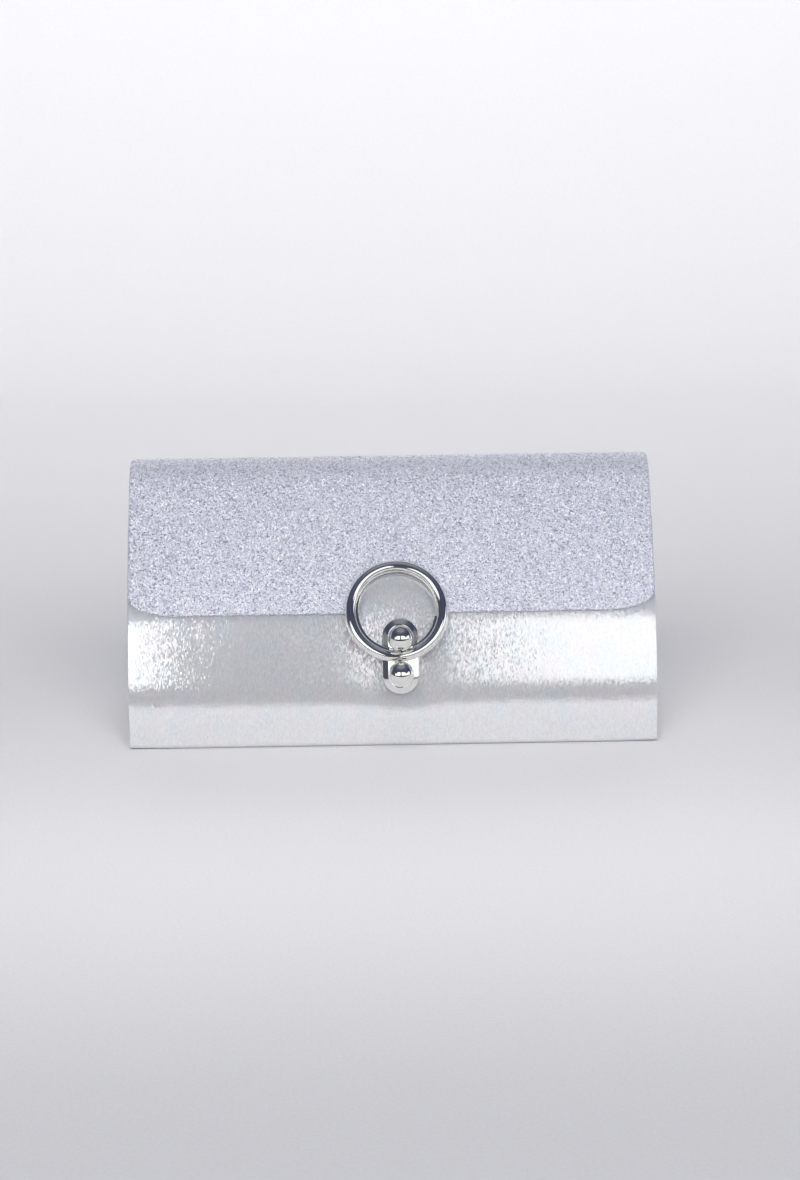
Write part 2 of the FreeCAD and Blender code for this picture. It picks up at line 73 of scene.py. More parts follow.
# ---- the bag's form ----------------------------------------------------------------------------------
# The body's own surface in its side section: centre y, centre z, radius, and the outward normal's first
# and last angle in degrees, where 0 looks to the front, 90 up and 180 to the back.
BELLY = (75.4563, 7.3, 105.0, -90.0, 25.5)
FLANK = (214.7252, -59.1279, 259.3, 25.5, 37.5)
CROWN = (21.5437, 89.1055, 15.8, 37.5, 90.0)
SHOULDER = (21.5437, 99.6055, 5.3, 90.0, 180.0)
SECTION = (BELLY, FLANK, CROWN, SHOULDER)

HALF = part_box("base_cover")[1].x
FLAP_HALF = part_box("flap_cover")[1].x
LINED_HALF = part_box("back_lining")[1].x
END_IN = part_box("right_end_board")[0].x
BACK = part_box("back_cover")[1].y / MM
FOLD = 99.6055             # height of the fold at the back
CORNER = 2.6               # radius of the bottom corners
BASE_SEAM = 25.944         # the underside's seams, in front of and behind the middle
FLAP_EDGE = 25.2           # degrees: the flap's lower edge on the front
FRONT_TOP = 34.5           # degrees: the front wall's top, under the flap
FLAP_OUT = 2.7             # flap's outer face above the body's surface
FLAP_GAP = 0.35            # the cloth turned under the flap stays this far above the surface
FLAP_CORNER = (18.0, 8.0)  # rounding of the flap's lower corners, across and up
SKIN = 0.8                 # thickness of the leatherette
PAD_BACK = 4.8             # back of the front's padding, in from the surface
LINING = 0.5
LINING_DROP = 1.0          # the lining stops this far below the fold
BASE_IN = 2.8              # inner face of the base board
BACK_IN = 26.944           # inner face of the back board
SEAT = 0.05                # between pieces that lie on each other
FLAP_LINING_IN = 2.4       # the flap's lining stops short of its edges

# ring and studs: place of each one's own frame, whose X runs along the bag and Z out of the leaning face
RING_AT = (1.8, -24.1667, 54.2877)
RING_LEAN = 27.5
RING_RADIUS = 18.2         # centre line of the ring's tube
RING_TUBE = 2.25
SLEEVE_IN = 15.1           # half sleeve that lines the flap's notch
SLEEVE_OUT = 16.4
NOTCH = 16.55
STUD_AT = (3.2, -25.5088, 36.1278)
STUD_LEAN = 15.935
BALL = 5.1
TRAVEL = 3.85
BALL_SPACING = 14.2
PLATE_LENGTH = 29.9
PLATE_WIDTH = 14.4
PRONGS = tuple((x, y) for x in (-5.35, 5.35) for y in (-10.55, 10.55))
WIRE = 0.8                 # radius of the D-rings' wire


def mm(*values):
    """Millimetres to metres."""
    return tuple(v * MM for v in values)


def out(angle):
    """Outward direction of the side section, as (y, z)."""
    a = math.radians(angle)
    return -math.cos(a), math.sin(a)


def run_of(section, start, end, rise):
    """One arc of a path: centre, radius, first angle and last angle, with the radius grown by rise."""
    cy, cz, radius = section[:3]
    return ("arc", cy, cz, radius + rise, start, end)


def follow(start, end, rise):
    """The arcs of the side section between two angles, lifted by rise."""
    runs = []
    for s in SECTION:
        low, high = max(start, s[3]), min(end, s[4])
        if high - low > 1e-6:
            runs.append(run_of(s, low, high, rise))
    return runs


def length_of(run):
    if run[0] == "arc":
        return run[3] * math.radians(abs(run[5] - run[4]))
    return math.dist(run[1:3], run[3:5])


def path_length(path):
    """Length of a path in metres."""
    return sum(length_of(r) for r in path) * MM


def point_on(path, along, lift):
    """(y, z) at a distance along a path, lifted off it to the left of its way."""
    for run in path:
        size = length_of(run)
        if along <= size or run is path[-1]:
            break
        along -= size
    if run[0] == "arc":
        _, cy, cz, radius, start, end = run
        sign = 1 if end > start else -1
        inside = min(max(along, 0.0), size)
        y, z = out(start + sign * math.degrees(inside / radius))
        over = (along - inside) * sign
        return cy + y * (radius + sign * lift) + over * z, cz + z * (radius + sign * lift) - over * y
    _, y0, z0, y1, z1 = run
    ty, tz = (y1 - y0) / size, (z1 - z0) / size
    return y0 + ty * along - tz * lift, z0 + tz * along + ty * lift


def bends(path, most):
    """Marks in metres where a cut is divided for its path: at each join and closely round tight arcs."""
    tightest = 9.0         # degrees between marks
    marks, done_with = [], 0.0
    for run in path:
        size = length_of(run)
        steps = math.ceil(size / most)
        if run[0] == "arc":
            steps = max(steps, math.ceil(abs(run[5] - run[4]) / tightest))
        marks += [(done_with + size * (i + 1) / steps) * MM for i in range(steps)]
        done_with += size
    return marks[:-1]


def spread(low, high, most):
    """Even marks between two ends, no further apart than most."""
    count = math.ceil((high - low) / most)
    return [low + (high - low) * i / count for i in range(1, count)]


def outline(front, underside, back, top):
    """Closed side outline as (y, z): front arcs, crown and upright back, each set in from the surface."""
    step, shortest, ledge = 1.5, 0.02, 0.08    # degrees, millimetres, and degrees that the crown starts later
    cz, radius = BELLY[1:3]
    low = math.degrees(math.asin((underside - cz) / (radius - front)))
    points = []
    for start, stop, rise in ((low, FRONT_TOP, -front), (FRONT_TOP + ledge, 180.0, -top)):
        for run in follow(start, stop, rise):
            count = max(2, math.ceil(abs(run[5] - run[4]) / step))
            for i in range(count + 1):
                y, z = out(run[4] + (run[5] - run[4]) * i / count)
                points.append((run[1] + y * run[3], run[2] + z * run[3]))
    points += [(back, FOLD), (back, underside)]
    kept = [points[0]]
    for p in points[1:]:
        if math.dist(p, kept[-1]) > shortest:
            kept.append(p)
    return kept


def lean_frame(at, lean):
    """Matrix from a leaning face's own frame to the bag's, in metres."""
    uy, uz = out(lean + 90)
    oy, oz = out(lean)
    x, y, z = mm(*at)
    return Matrix(((1, 0, 0, x), (0, uy, oy, y), (0, uz, oz, z), (0, 0, 0, 1)))


RING = lean_frame(RING_AT, RING_LEAN)
STUDS = lean_frame(STUD_AT, STUD_LEAN)


# ---- hand tools --------------------------------------------------------------------------------------
def only(obj):
    """Leaves one object selected and active."""
    if bpy.context.mode != "OBJECT":
        bpy.ops.object.mode_set(mode="OBJECT")
    bpy.ops.object.select_all(action="DESELECT")
    obj.select_set(True)
    bpy.context.view_layer.objects.active = obj


def begin(name, kind, **settings):
    """Adds a primitive of a kind, with nothing else selected, and names it."""
    bpy.ops.object.select_all(action="DESELECT")
    getattr(bpy.ops.mesh, "primitive_" + kind + "_add")(**settings)
    obj = bpy.context.object
    obj.name = obj.data.name = name
    return obj


def choose(obj, kind, test):
    """Opens edit mode with the faces, edges or verts that pass a test selected."""
    only(obj)
    bpy.ops.object.mode_set(mode="EDIT")
    bpy.ops.mesh.select_mode(type={"faces": "FACE", "edges": "EDGE", "verts": "VERT"}[kind])
    bpy.ops.mesh.select_all(action="DESELECT")
    bm = bmesh.from_edit_mesh(obj.data)
    for element in getattr(bm, kind):
        if test(element):
            element.select = True
    bm.select_flush_mode()
    bmesh.update_edit_mesh(obj.data)


def done():
    bpy.ops.object.mode_set(mode="OBJECT")


def finish_with(obj, kind, **settings):
    """Adds a modifier with its settings and applies it."""
    only(obj)
    modifier = obj.modifiers.new(kind.title(), kind)
    for name, value in settings.items():
        setattr(modifier, name, value)
    bpy.ops.object.modifier_apply(modifier=modifier.name)


def round_edges(obj, width, segments, angle=40, **settings):
    """Rounds the edges that turn by more than an angle."""
    finish_with(obj, "BEVEL", width=width, segments=segments, limit_method="ANGLE",
                angle_limit=math.radians(angle), **settings)


def cut_with(obj, cutter, operation="DIFFERENCE"):
    """Cuts a closed piece with another and throws the cutter away."""
    finish_with(obj, "BOOLEAN", object=cutter, operation=operation, solver="EXACT")
    bpy.data.objects.remove(cutter)


def settle(obj, matrix=Matrix.Identity(4)):
    """Puts a piece in its place and leaves its object at the origin."""
    only(obj)
    obj.matrix_world = matrix @ obj.matrix_world
    bpy.ops.object.transform_apply(location=True, rotation=True, scale=True)


def block(size, place=(0, 0, 0), matrix=Matrix.Identity(4)):
    """A block of a size round a place, in the frame that a matrix gives."""
    obj = begin("block", "cube", size=1, location=place)
    obj.scale = size
    settle(obj, matrix)
    return obj


def join(obj, others):
    only(obj)
    for other in others:
        other.select_set(True)
    bpy.ops.object.join()


def smooth(obj, angle):
    only(obj)
    bpy.ops.object.shade_smooth_by_angle(angle=math.radians(angle))


def heal(obj):
    """Merges doubles and turns every face outwards."""
    choose(obj, "verts", lambda v: True)
    bpy.ops.mesh.remove_doubles(threshold=0.002 * MM)
    bpy.ops.mesh.normals_make_consistent(inside=False)
    done()


def divide(obj, axis, marks):
    """Cuts a flat piece across at each mark, so that it can bend there."""
    normal = [0, 0, 0]
    normal[axis] = 1
    only(obj)
    bpy.ops.object.mode_set(mode="EDIT")
    bpy.ops.mesh.select_mode(type="FACE")
    for mark in marks:
        point = [0, 0, 0]
        point[axis] = mark
        bpy.ops.mesh.select_all(action="SELECT")
        bpy.ops.mesh.bisect(plane_co=point, plane_no=normal, threshold=0.01 * MM)
    done()


def panel(name, x_low, x_high, y_high, z_low, z_high, corner=None, notch=None):
    """A flat-cut slab with its lower edge on Y = 0. The lower corners are rounded by corner, which is how far
    across and up; notch is a round hole, given as x, y and radius."""
    obj = begin(name, "cube", size=1)
    across, up = corner or (1.0, 1.0)
    stretch = across / up
    obj.scale = ((x_high - x_low), y_high * stretch, z_high - z_low)
    obj.location = ((x_low + x_high) / 2, y_high * stretch / 2, (z_low + z_high) / 2)
    settle(obj)
    if corner:
        choose(obj, "edges", lambda e: all(v.co.y < 1e-6 for v in e.verts) and e.verts[0].co.x == e.verts[1].co.x)
        bpy.ops.mesh.bevel(offset=across, segments=14, affect="EDGES", clamp_overlap=False)
        done()
        obj.scale = (1, 1 / stretch, 1)
        settle(obj)
    if notch:
        x, y, radius = notch
        cut_with(obj, begin("notch", "cylinder", vertices=96, radius=radius, depth=50 * MM, location=(x, y, 0)))
    return obj


def keep_cut(obj, across, along):
    """Keeps two axes of the flat cut as the piece's own map, which the patterns of its cloth follow."""
    cut = obj.data.uv_layers.get("cut") or obj.data.uv_layers.new(name="cut")
    for loop in obj.data.loops:
        co = obj.data.vertices[loop.vertex_index].co
        cut.data[loop.index].uv = (co[across], co[along])


def lay(obj, path):
    """Wraps a flat cut round a path of the side section."""
    keep_cut(obj, 0, 1)
    for v in obj.data.vertices:
        v.co.y, v.co.z = mm(*point_on(path, v.co.y / MM, v.co.z / MM))
    obj.data.update()


def put_on(obj, body, material, replaces, angle=50):
    """Gives a finished piece its shading, its finish and its body, and hides the frame nodes that it stands for."""
    smooth(obj, angle)
    obj.data.materials.clear()
    obj.data.materials.append(material)
    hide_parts(*replaces)
    if body:
        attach(obj, body)


# ---- finishes ----------------------------------------------------------------------------------------
def colour(code):
    """sRGB hex to linear RGBA."""
    parts = [int(code[i:i + 2], 16) / 255 for i in (1, 3, 5)]
    return tuple(c / 12.92 if c <= 0.04045 else ((c + 0.055) / 1.055) ** 2.4 for c in parts) + (1.0,)


COLOURS = {name: colour(code) for name, code in {
    "glitter": "#EEEFF6", "glitter_light": "#FFFFFF", "glitter_dark": "#8E91A9", "glitter_backing": "#C4C6D5",
    "leatherette": "#E6E6E7", "leatherette_cool": "#E1E6E9", "leatherette_warm": "#E8E5E8",
    "leatherette_grain": "#F0F0F0", "white": "#FFFFFF", "metal": "#F2F1ED", "satin": "#CACAD3",
    "satin_dark": "#BFBFC9", "board": "#A09C92", "board_fibre": "#6F6B63", "foam": "#EDEBDF", "foam_pore": "#CFCBBB",
    "steel": "#A8A8A6", "steel_dark": "#8A8A88", "paper": "#DFDEDF", "paper_low": "#DAD9DA",
    "room_low": "#58585F", "room_wall": "#54545E", "room_high": "#434960", "room_cove": "#565C6E",
    "room_lamp": "#868A92", "room_top": "#8A8E96", "room_pale": "#D6D7D9",
}.items()}


def chosen(name):
    """A colour by its name: the user's own, where the settings hold it."""
    return getattr(bpy.context.scene.bag_colours, name, None) or COLOURS[name]


def node(tree, kind, sockets=None, stops=(), **settings):
    """Adds a shader node. Each socket is given a value, a link, or a node whose first output is then linked.
    Stops are a colour ramp's places and colours, and settings are the node's own."""
    made = tree.nodes.new("ShaderNode" + kind)
    for name, value in settings.items():
        setattr(made, name, value)
    for name, value in (sockets or {}).items():
        if isinstance(value, bpy.types.Node):
            value = next(s for s in value.outputs if s.enabled)
        if isinstance(value, bpy.types.NodeSocket):
            tree.links.new(value, made.inputs[name])
        else:
            made.inputs[name].default_value = value
    if stops:
        elements = made.color_ramp.elements
        for element, (place, name) in zip(elements, (stops[0], stops[-1])):
            element.position, element.color = place, chosen(name)
        for place, name in stops[1:-1]:
            elements.new(place).color = chosen(name)
    return made


def new_finish(name):
    """A material without nodes, and its tree."""
    material = bpy.data.materials.get(name) or bpy.data.materials.new(name)
    material.use_nodes = True
    material.node_tree.nodes.clear()
    return material, material.node_tree


def tilted(tree, pattern, amounts):
    """The surface's normal, leaned by a colour pattern: amounts are the lean along X, Y and Z."""
    centred = node(tree, "VectorMath", {0: pattern, 1: (0.5, 0.5, 0.5)}, operation="SUBTRACT")
    lean = node(tree, "VectorMath", {0: centred, 1: amounts}, operation="MULTIPLY")
    upright = node(tree, "NewGeometry").outputs["Normal"]
    leaning = node(tree, "VectorMath", {0: upright, 1: lean}, operation="ADD")
    return node(tree, "VectorMath", {0: leaning}, operation="NORMALIZE")


def make_glitter():
    """Glitter cloth: cut foil flakes of about 0.2 mm set in clear resin on a knitted backing. Each flake lies at its
    own tilt, so some flash white and their neighbours go grey; each flake's colour also carries a painted glint or
    painted shade, from grey to white at random, on top of that tilt. Drawn at 0.46 mm, as finer ones don't show."""
    material, tree = new_finish("foil_glitter_cloth")
    place = node(tree, "TexCoord").outputs["Object"]
    flake = {"Vector": place, "Scale": 1 / (0.46 * MM)}
    flakes = node(tree, "TexVoronoi", flake).outputs["Color"]
    edges = node(tree, "TexVoronoi", flake, feature="DISTANCE_TO_EDGE")
    parts = node(tree, "SeparateColor", {"Color": flakes}).outputs
    # painted glint and painted shade: each flake's colour runs at random from grey to white, standing for how its
    # tilt meets the light
    flake_glint_and_shade = node(tree, "ValToRGB", {"Fac": parts["Red"]}, stops=[
        (0.0, "glitter_dark"), (0.45, "glitter"), (0.85, "glitter"), (1.0, "glitter_light")])
    foil = node(tree, "MapRange", {"Value": edges, "From Min": 0.02, "From Max": 0.10})
    shade = node(tree, "Mix", {"Factor": foil, "A": chosen("glitter_backing"), "B": flake_glint_and_shade}, data_type="RGBA")
    facing = tilted(tree, flakes, (0.95, 0.95, 0.95))
    rough = node(tree, "MapRange", {"Value": parts["Green"], "To Min": 0.2, "To Max": 0.5})
    metal = node(tree, "MapRange", {"Value": foil, "To Min": 0.15, "To Max": 0.5})
    shader = node(tree, "BsdfPrincipled", {
        "Base Color": shade, "Metallic": metal, "Roughness": rough, "Normal": facing, "Coat Weight": 0.12,
        "Coat Roughness": 0.3})
    node(tree, "OutputMaterial", {"Surface": shader})
    return material


def make_leatherette():
    """Metallic leatherette: polyester cloth with a coating of aluminium-bright flake under clear film, drawn along
    the roll. Half of it mirrors and half glows softly, and the drawn grain, which runs up the bag, breaks a light's
    edge into short strokes. Strokes are about 0.2 mm wide, drawn at 0.3 mm so that they show."""
    material, tree = new_finish("metallised_leatherette")
    cut = node(tree, "UVMap", uv_map="cut")
    strokes = node(tree, "Mapping", {"Vector": cut, "Scale": (1 / (0.3 * MM), 1 / (1.0 * MM), 1.0)})
    grain = node(tree, "TexVoronoi", {"Vector": strokes, "Scale": 1.0}).outputs["Color"]
    parts = node(tree, "SeparateColor", {"Color": grain}).outputs
    pooled = node(tree, "Mapping", {"Vector": cut, "Scale": (1 / (9 * MM), 1 / (13 * MM), 1.0)})
    cloud = node(tree, "TexNoise", {"Vector": pooled, "Scale": 1.0, "Detail": 3.0})
    tint = node(tree, "ValToRGB", {"Fac": cloud}, stops=[
        (0.34, "leatherette_cool"), (0.5, "leatherette"), (0.66, "leatherette_warm")])
    grained = node(tree, "Mix", {
        "Factor": parts["Green"], "A": chosen("leatherette_grain"), "B": chosen("white")}, data_type="RGBA")
    shade = node(tree, "Mix", {"Factor": 1.0, "A": tint, "B": grained}, data_type="RGBA",
                 blend_type="MULTIPLY")
    facing = tilted(tree, grain, (0.058, 0.032, 0.032))
    rough = node(tree, "MapRange", {"Value": parts["Red"], "To Min": 0.06, "To Max": 0.15})
    shader = node(tree, "BsdfPrincipled", {
        "Base Color": shade, "Metallic": 0.54, "Roughness": rough, "Normal": facing})
    node(tree, "OutputMaterial", {"Surface": shader})
    return material


def make_polished():
    """Die-cast zinc, tumbled and nickel plated: a mirror with faint wiping marks and a trace of orange peel."""
    material, tree = new_finish("plated_zinc_casting")
    place = node(tree, "TexCoord").outputs["Object"]
    wiping = node(tree, "TexNoise", {
        "Vector": place, "Scale": 1 / (2.5 * MM), "Detail": 4.0, "Roughness": 0.7})
    rough = node(tree, "MapRange", {
        "Value": wiping, "From Min": 0.35, "From Max": 0.75, "To Min": 0.03, "To Max": 0.09})
    peel = node(tree, "TexNoise", {"Vector": place, "Scale": 1 / (0.9 * MM), "Detail": 1.0})
    relief = node(tree, "Bump", {"Strength": 0.04, "Distance": 0.02 * MM, "Height": peel})
    shader = node(tree, "BsdfPrincipled", {
        "Base Color": chosen("metal"), "Metallic": 1.0, "Roughness": rough, "Normal": relief})
    node(tree, "OutputMaterial", {"Surface": shader})
    return material


def make_satin():
    """Polyester satin: long floats on one face catch the light in a soft band, and thicker threads leave faint
    streaks along the cloth. Threads are 0.12 mm apart, drawn at 0.35 mm so that they show."""
    material, tree = new_finish("polyester_satin")
    cut = node(tree, "UVMap", uv_map="cut")
    weave = []
    for way, thread, wander, scale in (("X", 0.35, 0.6, 60.0), ("Y", 0.7, 0.8, 40.0)):
        weave.append(node(tree, "TexWave", {
            "Vector": cut, "Scale": 1 / (thread * MM) / 20, "Distortion": wander, "Detail": 1.0,
            "Detail Scale": scale}, bands_direction=way).outputs["Fac"])
    threads = node(tree, "Math", {0: weave[0], 1: 0.7, 2: weave[1]}, operation="MULTIPLY_ADD")
    drawn = node(tree, "Mapping", {"Vector": cut, "Scale": (1 / (0.7 * MM), 1 / (24 * MM), 1.0)})
    slubs = node(tree, "TexNoise", {"Vector": drawn, "Scale": 1.0, "Detail": 3.0})
    shade = node(tree, "ValToRGB", {"Fac": slubs}, stops=[(0.35, "satin_dark"), (0.65, "satin")])
    relief = node(tree, "Bump", {"Strength": 0.3, "Distance": 0.06 * MM, "Height": threads})
    rough = node(tree, "MapRange", {"Value": threads, "From Max": 1.7, "To Min": 0.32, "To Max": 0.5})
    shader = node(tree, "BsdfPrincipled", {
        "Base Color": shade, "Roughness": rough, "Normal": relief, "Sheen Weight": 0.35, "Sheen Roughness": 0.4,
        "Specular IOR Level": 0.6})
    node(tree, "OutputMaterial", {"Surface": shader})
    return material


def make_board():
    """Grey bookbinding board: pressed waste-paper pulp with darker fibres up to 2 mm long and a dull, slightly
    rough face."""
    material, tree = new_finish("grey_binding_board")
    place = node(tree, "TexCoord").outputs["Object"]
    pulp = node(tree, "TexNoise", {
        "Vector": place, "Scale": 1 / (1.6 * MM), "Detail": 5.0, "Roughness": 0.7})
    shade = node(tree, "ValToRGB", {"Fac": pulp}, stops=[(0.32, "board_fibre"), (0.55, "board")])
    relief = node(tree, "Bump", {"Strength": 0.4, "Distance": 0.1 * MM, "Height": pulp})
    shader = node(tree, "BsdfPrincipled", {
        "Base Color": shade, "Roughness": 0.92, "Normal": relief})
    node(tree, "OutputMaterial", {"Surface": shader})
    return material


def make_foam():
    """Polyurethane foam sheet: open cells of about 0.4 mm, cream white and matt, drawn at 0.8 mm, with painted shade
    darkening the pits of the cells.
    """
    material, tree = new_finish("open_cell_foam")
    place = node(tree, "TexCoord").outputs["Object"]
    cells = node(tree, "TexVoronoi", {"Vector": place, "Scale": 1 / (0.8 * MM)})
    # painted shade: the pits of the open cells are painted darker
    shade = node(tree, "ValToRGB", {"Fac": cells}, stops=[(0.1, "foam_pore"), (0.5, "foam")])
    relief = node(tree, "Bump", {"Strength": 0.6, "Distance": 0.2 * MM, "Height": cells})
    shader = node(tree, "BsdfPrincipled", {
        "Base Color": shade, "Roughness": 0.95, "Normal": relief, "Subsurface Weight": 0.1,
        "Subsurface Scale": 1.0 * MM})
    node(tree, "OutputMaterial", {"Surface": shader})
    return material


def make_steel():
    """Cold-rolled steel strip, pressed and tumbled: grey, with rolling lines along X that blur its shine."""
    material, tree = new_finish("cold_rolled_steel")
    place = node(tree, "TexCoord").outputs["Object"]
    along = node(tree, "Mapping", {
        "Vector": place, "Scale": (1 / (6 * MM), 1 / (0.3 * MM), 1 / (0.3 * MM))})
    lines = node(tree, "TexNoise", {"Vector": along, "Scale": 1.0, "Detail": 3.0})
    shade = node(tree, "ValToRGB", {"Fac": lines}, stops=[(0.3, "steel_dark"), (0.7, "steel")])
    rough = node(tree, "MapRange", {"Value": lines, "To Min": 0.3, "To Max": 0.5})
    shader = node(tree, "BsdfPrincipled", {
        "Base Color": shade, "Metallic": 1.0, "Roughness": rough})
    node(tree, "OutputMaterial", {"Surface": shader})
    return material


def make_paper():
    """Matt coated paper sweep: even and pale, with a trace of tooth."""
    material, tree = new_finish("matt_studio_paper")
    place = node(tree, "TexCoord").outputs["Object"]
    tooth = node(tree, "TexNoise", {"Vector": place, "Scale": 1 / (1.2 * MM), "Detail": 2.0})
    shade = node(tree, "ValToRGB", {"Fac": tooth}, stops=[(0.3, "paper_low"), (0.7, "paper")])
    shader = node(tree, "BsdfPrincipled", {
        "Base Color": shade, "Roughness": 0.6, "Specular IOR Level": 0.3})
    node(tree, "OutputMaterial", {"Surface": shader})
    return material


# ---- settings ----------------------------------------------------------------------------------------
class BagFormSettings(bpy.types.PropertyGroup):
    """Sizes of the soft pieces that a maker would change."""

    cloth: FloatProperty(
        name="Cloth Thickness", description="Thickness of the glitter cloth", default=0.4 * MM, unit="LENGTH")
    edge: FloatProperty(
        name="Edge Rounding", description="Radius at which the cloth turns over the flap's board",
        default=0.8 * MM, unit="LENGTH")
    hem: FloatProperty(
        name="Turned Hem", description="How far the cloth runs in under the flap's lining",
        default=6.0 * MM, unit="LENGTH")
    side: FloatProperty(
        name="Soft Side", description="Width over which the cloth falls away at the flap's sides",
        default=2.6 * MM, unit="LENGTH")
    side_drop: FloatProperty(
        name="Side Drop", description="How far the cloth falls away at the flap's sides",
        default=0.4 * MM, unit="LENGTH")
    skin_edge: FloatProperty(
        name="Skin Edge", description="Rounding of the leatherette's cut edges", default=0.3 * MM, unit="LENGTH")
    roll: FloatProperty(
        name="Front Roll", description="How far the padded front falls away at its two ends",
        default=0.35 * MM, unit="LENGTH")
    roll_width: FloatProperty(
        name="Roll Width", description="Width over which each end of the front falls away",
        default=22 * MM, unit="LENGTH")
    dimple: FloatProperty(
        name="Clasp Dimple", description="How far the clasp's plate draws the padded front in",
        default=0.3 * MM, unit="LENGTH")
    dimple_width: FloatProperty(
        name="Dimple Width", description="Width of the drawn-in front round the plate", default=9 * MM, unit="LENGTH")
    satin: FloatProperty(
        name="Satin Thickness", description="Thickness of the lining cloth", default=0.4 * MM, unit="LENGTH")
    slack: FloatProperty(
        name="Pocket Slack", description="How far the pocket's mouth hangs off the lining",
        default=0.9 * MM, unit="LENGTH")


class BagColourSettings(bpy.types.PropertyGroup):
    """Main colours of the finishes."""

    glitter: FloatVectorProperty(
        name="Glitter", description="Most flakes of the glitter cloth", default=COLOURS["glitter"], size=4,
        min=0.0, max=1.0, subtype="COLOR")
    leatherette: FloatVectorProperty(
        name="Leatherette", description="Coating of the front, the ends and the base",
        default=COLOURS["leatherette"], size=4, min=0.0, max=1.0, subtype="COLOR")
    metal: FloatVectorProperty(
        name="Metal", description="Plating of the clasp and of the wire rings", default=COLOURS["metal"], size=4,
        min=0.0, max=1.0, subtype="COLOR")
    satin: FloatVectorProperty(
        name="Satin", description="Lining cloth", default=COLOURS["satin"], size=4, min=0.0, max=1.0,
        subtype="COLOR")


class BagStageSettings(bpy.types.PropertyGroup):
    """Light and floor of the studio."""

    window_light: FloatProperty(
        name="Window Light", description="Power of each of the two wide lights in front", default=11.0,
        subtype="POWER")
    wall_light: FloatProperty(
        name="Wall Light", description="Power of the low lights at the two sides", default=5.5, subtype="POWER")
    fill_light: FloatProperty(
        name="Fill Light", description="Power of the soft light high in front", default=97.0, subtype="POWER")
    table_light: FloatProperty(
        name="Table Light", description="Power of the light on the table in front", default=0.155, subtype="POWER")
    back_light: FloatProperty(
        name="Back Light", description="Power of the soft light on the rising paper", default=19.8, subtype="POWER")
    room_light: FloatProperty(
        name="Room Light", description="Strength of the even light of the room", default=1.0)


# ---- pieces ------------------------------------------------------------------------------------------
def skin_panel(name, length):
    """A flat cut of leatherette as wide as the bag, with its edges rounded."""
    skin = panel(name, -HALF, HALF, length, -SKIN * MM, 0)
    round_edges(skin, bpy.context.scene.bag_form.skin_edge, 3)
    return skin


def glitter_path():
    """From the flap's lower edge over the crown, down the back and round the bottom corner to its seam."""
    return follow(FLAP_EDGE, 180.0, FLAP_OUT) + [
        ("line", BACK, FOLD, BACK, CORNER),
        ("arc", BACK - CORNER, CORNER, CORNER, 180.0, 270.0),
        ("line", BACK - CORNER, 0.0, BASE_SEAM, 0.0),
    ]


class BAG_OT_glitter_cloth(bpy.types.Operator):
    """Adds the glitter cloth that covers the flap and the back in one piece"""

    bl_idname = "bag.glitter_cloth"
    bl_label = "Glitter Cloth"

    def execute(self, context):
        form = context.scene.bag_form
        path = glitter_path()
        whole = path_length(path)
        fold = path_length(follow(FLAP_EDGE, 180.0, FLAP_OUT))
        low = (FLAP_GAP - FLAP_OUT) * MM
        ring_x, notch, end_strip = mm(RING_AT[0], NOTCH, 0.4)
        cloth = panel("glitter_cloth", -FLAP_HALF, FLAP_HALF, whole, low, 0, mm(*FLAP_CORNER), (ring_x, 0, notch))
        round_edges(cloth, form.edge, 5, use_clamp_overlap=False)
        divide(cloth, 1, bends(path, 3.0))
        divide(cloth, 0, spread(-FLAP_HALF, FLAP_HALF, 5 * MM))
        soft = [form.hem, form.side, form.side * 0.75, form.side * 0.5]
        divide(cloth, 0, [sign * (FLAP_HALF - inside) for inside in soft for sign in (-1, 1)])
        divide(cloth, 1, [form.hem])
        for v in cloth.data.vertices:
            past = max(0.0, abs(v.co.x) - (FLAP_HALF - form.side)) / form.side
            if v.co.z > low / 2 and v.co.y > form.hem:
                v.co.z -= form.side_drop * past ** 2

        def spare(face):
            """The flap keeps its hem under the board; on the back the cloth ends at its rounded sides."""
            c = face.calc_center_median()
            if c.y > fold - end_strip:
                return c.z < -form.edge * 1.02 or c.y > whole - end_strip
            clear = c.y > form.hem and abs(c.x) < FLAP_HALF - form.hem
            return c.z < low + 0.01 * MM and clear and math.dist((c.x, c.y), (ring_x, 0)) > notch + form.hem

        choose(cloth, "faces", spare)
        bpy.ops.mesh.delete(type="FACE")
        done()
        finish_with(cloth, "SOLIDIFY", thickness=form.cloth, offset=-1.0, use_even_offset=True)
        lay(cloth, path)
        put_on(cloth, None, make_glitter(), ["flap_cover", "back_cover"])
        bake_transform(cloth)
        return {"FINISHED"}


def front_path():
    """Outer face of the front skin: from its seam under the bag, round the corner, up the front and over."""
    turn, tucked = 1.0, 2.8
    cy, cz, radius = BELLY[:3]
    centre = cy - math.sqrt((radius - CORNER) ** 2 - (cz - CORNER) ** 2)
    meet = -math.degrees(math.asin((cz - CORNER) / (radius - CORNER)))
    top = FRONT_TOP - math.degrees(turn / FLANK[2])
    y, z = out(top)
    rim = (FLANK[0] + y * (FLANK[2] - turn), FLANK[1] + z * (FLANK[2] - turn))
    uy, uz = out(top + 90)
    start = (rim[0] + uy * turn, rim[1] + uz * turn)
    return [
        ("line", -BASE_SEAM, 0.0, centre, 0.0),
        ("arc", centre, CORNER, CORNER, -90.0, meet),
    ] + follow(meet, top, 0.0) + [
        ("arc", rim[0], rim[1], turn, top, top + 90),
        ("line", start[0], start[1], start[0] - y * tucked, start[1] - z * tucked),
    ]


